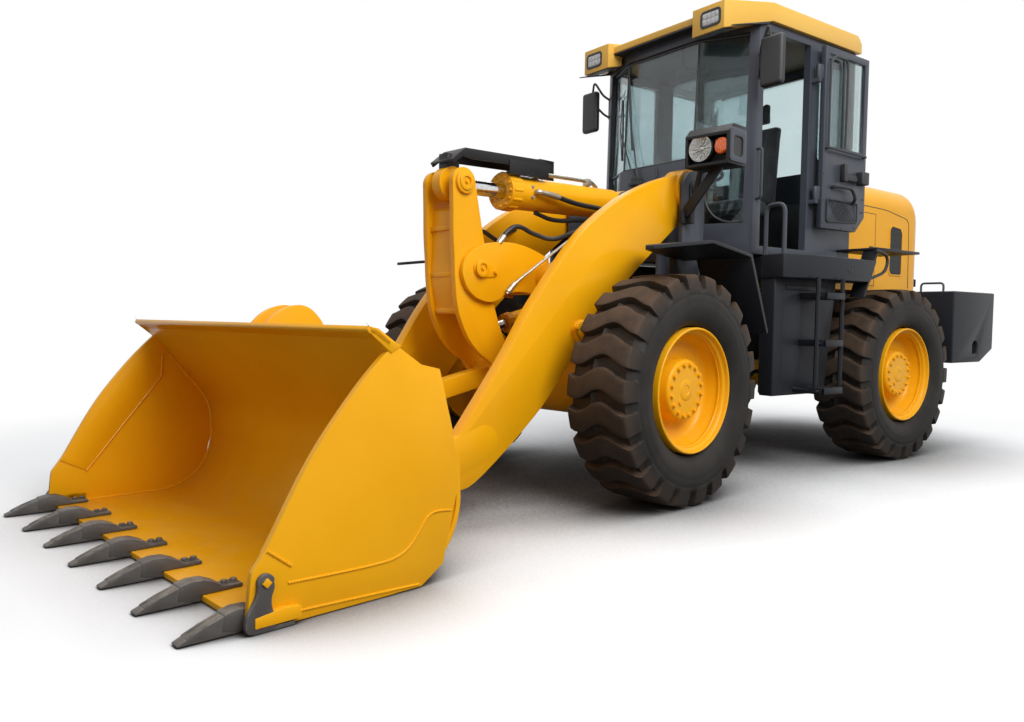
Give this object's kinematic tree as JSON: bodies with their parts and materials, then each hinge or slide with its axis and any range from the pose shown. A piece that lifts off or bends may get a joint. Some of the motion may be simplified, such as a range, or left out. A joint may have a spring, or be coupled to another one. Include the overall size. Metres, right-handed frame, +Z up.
{
  "type": "wheel loader",
  "caption": "Articulated wheel loader with a Z-bar linkage, toothed bucket, closed cab with a swing door, and hydraulic cylinders that follow boom, bucket and steering.",
  "frame": {"origin": "on the ground under the middle of the parked machine's bounding box, bucket and steering as parked", "axes": "+X forward along the rear frame, +Y to the operator's left, +Z up"},
  "size_m": [7.3814, 2.9326, 3.33],
  "materials": {
    "yellow_paint": "semi-gloss",
    "roof_paint": "satin",
    "grey_paint": "satin",
    "black_paint": "satin",
    "tooth_steel": "worn",
    "chrome": "polished",
    "tyre_rubber": "dusty",
    "glass": "tinted",
    "cast_iron": "rough",
    "seat_fabric": "woven"
  },
  "bodies": {
    "rear_body": {"rear_frame": "black_paint", "rear_axle": "yellow_paint", "engine_block": "cast_iron", "hood": "yellow_paint", "rear_grille": "black_paint", "counterweight": "grey_paint", "deck_left": "grey_paint", "deck_right": "grey_paint", "rear_fender_left": "grey_paint", "rear_fender_right": "grey_paint", "cab_shell": "grey_paint", "windscreen": "glass", "rear_glass": "glass", "right_window_glass": "glass", "side_glass_left": "glass", "side_glass_right": "glass", "cab_roof": "roof_paint", "mirror_left": "black_paint", "mirror_right": "black_paint", "seat": "seat_fabric", "seat_base": "black_paint", "steering_console": "black_paint"},
    "front_body": {"front_frame": "grey_paint", "front_axle": "yellow_paint", "front_fender_left": "grey_paint", "front_fender_right": "grey_paint", "headlamp_left": "black_paint", "headlamp_right": "black_paint"},
    "boom": {"boom": "yellow_paint"},
    "bellcrank": {"bellcrank": "yellow_paint"},
    "bucket": {"bucket": "yellow_paint", "cutting_edge": "tooth_steel"},
    "dump_link": {"dump_link": "yellow_paint"},
    "tilt_barrel": {"tilt_barrel": "yellow_paint"},
    "tilt_rod": {"tilt_rod": "chrome", "rod_guard": "black_paint"},
    "door": {"door": "grey_paint", "door_glass": "glass"},
    "lift_barrel_left": {"lift_left_barrel": "yellow_paint"},
    "lift_rod_left": {"lift_left_rod": "chrome"},
    "steer_barrel_left": {"steer_left_barrel": "yellow_paint"},
    "steer_rod_left": {"steer_left_rod": "chrome"},
    "wheel_front_left": {"tyre_front_left": "tyre_rubber", "rim_front_left": "yellow_paint"},
    "wheel_rear_left": {"tyre_rear_left": "tyre_rubber", "rim_rear_left": "yellow_paint"},
    "lift_barrel_right": {"lift_right_barrel": "yellow_paint"},
    "lift_rod_right": {"lift_right_rod": "chrome"},
    "steer_barrel_right": {"steer_right_barrel": "yellow_paint"},
    "steer_rod_right": {"steer_right_rod": "chrome"},
    "wheel_front_right": {"tyre_front_right": "tyre_rubber", "rim_front_right": "yellow_paint"},
    "wheel_rear_right": {"tyre_rear_right": "tyre_rubber", "rim_rear_right": "yellow_paint"}
  },
  "joints": [
    {"name": "steer", "type": "hinge", "parent": "rear_body", "child": "front_body", "pos_m": [-0.82071, -0.27634, 0.9], "axis": [0, 0, 1], "range_deg": [-45.28, 30.72]},
    {"name": "boom_lift", "type": "hinge", "parent": "front_body", "child": "boom", "pos_m": [-0.12636, -0.18764, 1.96], "axis": [0.1267, -0.9919, 0], "range_deg": [0, 74]},
    {"name": "bucket_tilt", "type": "hinge", "parent": "boom", "child": "bucket", "pos_m": [2.2047, 0.11015, 0.24], "axis": [0.1267, -0.9919, 0], "range_deg": [-95, 45]},
    {"name": "bellcrank_swing", "type": "hinge", "parent": "boom", "child": "bellcrank", "pos_m": [1.40123, 0.00751, 1.366], "axis": [0.1267, -0.9919, 0], "range_deg": [-11.75, 24.25]},
    {"name": "dump_link_swing", "type": "hinge", "parent": "bucket", "child": "dump_link", "pos_m": [2.30389, 0.12282, 0.5], "axis": [0.1267, -0.9919, 0], "range_deg": [-41.9, 87.9]},
    {"name": "tilt_cylinder_swing", "type": "hinge", "parent": "front_body", "child": "tilt_barrel", "pos_m": [-0.08668, -0.18257, 1.9], "axis": [0.1267, -0.9919, 0], "range_deg": [-0.5, 74.87]},
    {"name": "tilt_cylinder_stroke", "type": "slide", "parent": "tilt_barrel", "child": "tilt_rod", "axis": [0.9916, 0.1267, -0.025], "range_m": [-0.2083, 0.0992]},
    {"name": "lift_cylinder_swing_left", "type": "hinge", "parent": "front_body", "child": "lift_barrel_left", "pos_m": [-0.30324, 0.0922, 1.3], "axis": [0.1267, -0.9919, 0], "range_deg": [-0.5, 63.18]},
    {"name": "lift_cylinder_stroke_left", "type": "slide", "parent": "lift_barrel_left", "child": "lift_rod_left", "axis": [0.9623, 0.1229, -0.2425], "range_m": [-0.001, 0.7772]},
    {"name": "steer_cylinder_swing_left", "type": "hinge", "parent": "rear_body", "child": "steer_barrel_left", "pos_m": [-1.44071, 0.16366, 0.74], "axis": [0, 0, 1], "range_deg": [-15.4, 10.61]},
    {"name": "steer_cylinder_stroke_left", "type": "slide", "parent": "steer_barrel_left", "child": "steer_rod_left", "axis": [0.9952, -0.0978, 0], "range_m": [-0.1798, 0.2645]},
    {"name": "lift_cylinder_swing_right", "type": "hinge", "parent": "front_body", "child": "lift_barrel_right", "pos_m": [-0.22721, -0.50296, 1.3], "axis": [0.1267, -0.9919, 0], "range_deg": [-0.5, 63.18]},
    {"name": "lift_cylinder_stroke_right", "type": "slide", "parent": "lift_barrel_right", "child": "lift_rod_right", "axis": [0.9623, 0.1229, -0.2425], "range_m": [-0.001, 0.7772]},
    {"name": "steer_cylinder_swing_right", "type": "hinge", "parent": "rear_body", "child": "steer_barrel_right", "pos_m": [-1.44071, -0.71634, 0.74], "axis": [0, 0, 1], "range_deg": [-14.81, 10.21]},
    {"name": "steer_cylinder_stroke_right", "type": "slide", "parent": "steer_barrel_right", "child": "steer_rod_right", "axis": [0.9835, 0.1811, 0], "range_m": [-0.2824, 0.1919]},
    {"name": "spin_front_left", "type": "hinge", "parent": "front_body", "child": "wheel_front_left", "pos_m": [0.47463, 0.82922, 0.675], "axis": [-0.1267, 0.9919, 0], "continuous": true},
    {"name": "spin_rear_left", "type": "hinge", "parent": "rear_body", "child": "wheel_rear_left", "pos_m": [-2.24571, 0.65616, 0.675], "axis": [0, 1, 0], "continuous": true},
    {"name": "spin_front_right", "type": "hinge", "parent": "front_body", "child": "wheel_front_right", "pos_m": [0.71096, -1.02075, 0.675], "axis": [-0.1267, 0.9919, 0], "continuous": true},
    {"name": "spin_rear_right", "type": "hinge", "parent": "rear_body", "child": "wheel_rear_right", "pos_m": [-2.24571, -1.20884, 0.675], "axis": [0, 1, 0], "continuous": true},
    {"name": "cab_door", "type": "hinge", "parent": "rear_body", "child": "door", "pos_m": [-1.42071, 0.52866, 2.45], "axis": [0, 0, 1], "range_deg": [-180, 0]}
  ],
  "couplings": [
    {"joint": "bellcrank_swing", "follows": "bucket_tilt", "ratio": -0.25},
    {"joint": "dump_link_swing", "follows": "bucket_tilt", "ratio": -0.92},
    {"joint": "tilt_cylinder_swing", "follows": "boom_lift", "ratio": 1.005},
    {"joint": "tilt_cylinder_stroke", "follows": "bucket_tilt", "m_per_rad": 0.125},
    {"joint": "lift_cylinder_swing_left", "follows": "boom_lift", "ratio": 0.847},
    {"joint": "lift_cylinder_stroke_left", "follows": "boom_lift", "m_per_rad": 0.601},
    {"joint": "steer_cylinder_swing_left", "follows": "steer", "ratio": 0.329},
    {"joint": "steer_cylinder_stroke_left", "follows": "steer", "m_per_rad": -0.3334},
    {"joint": "lift_cylinder_swing_right", "follows": "boom_lift", "ratio": 0.847},
    {"joint": "lift_cylinder_stroke_right", "follows": "boom_lift", "m_per_rad": 0.601},
    {"joint": "steer_cylinder_swing_right", "follows": "steer", "ratio": 0.316},
    {"joint": "steer_cylinder_stroke_right", "follows": "steer", "m_per_rad": 0.3561}
  ]
}
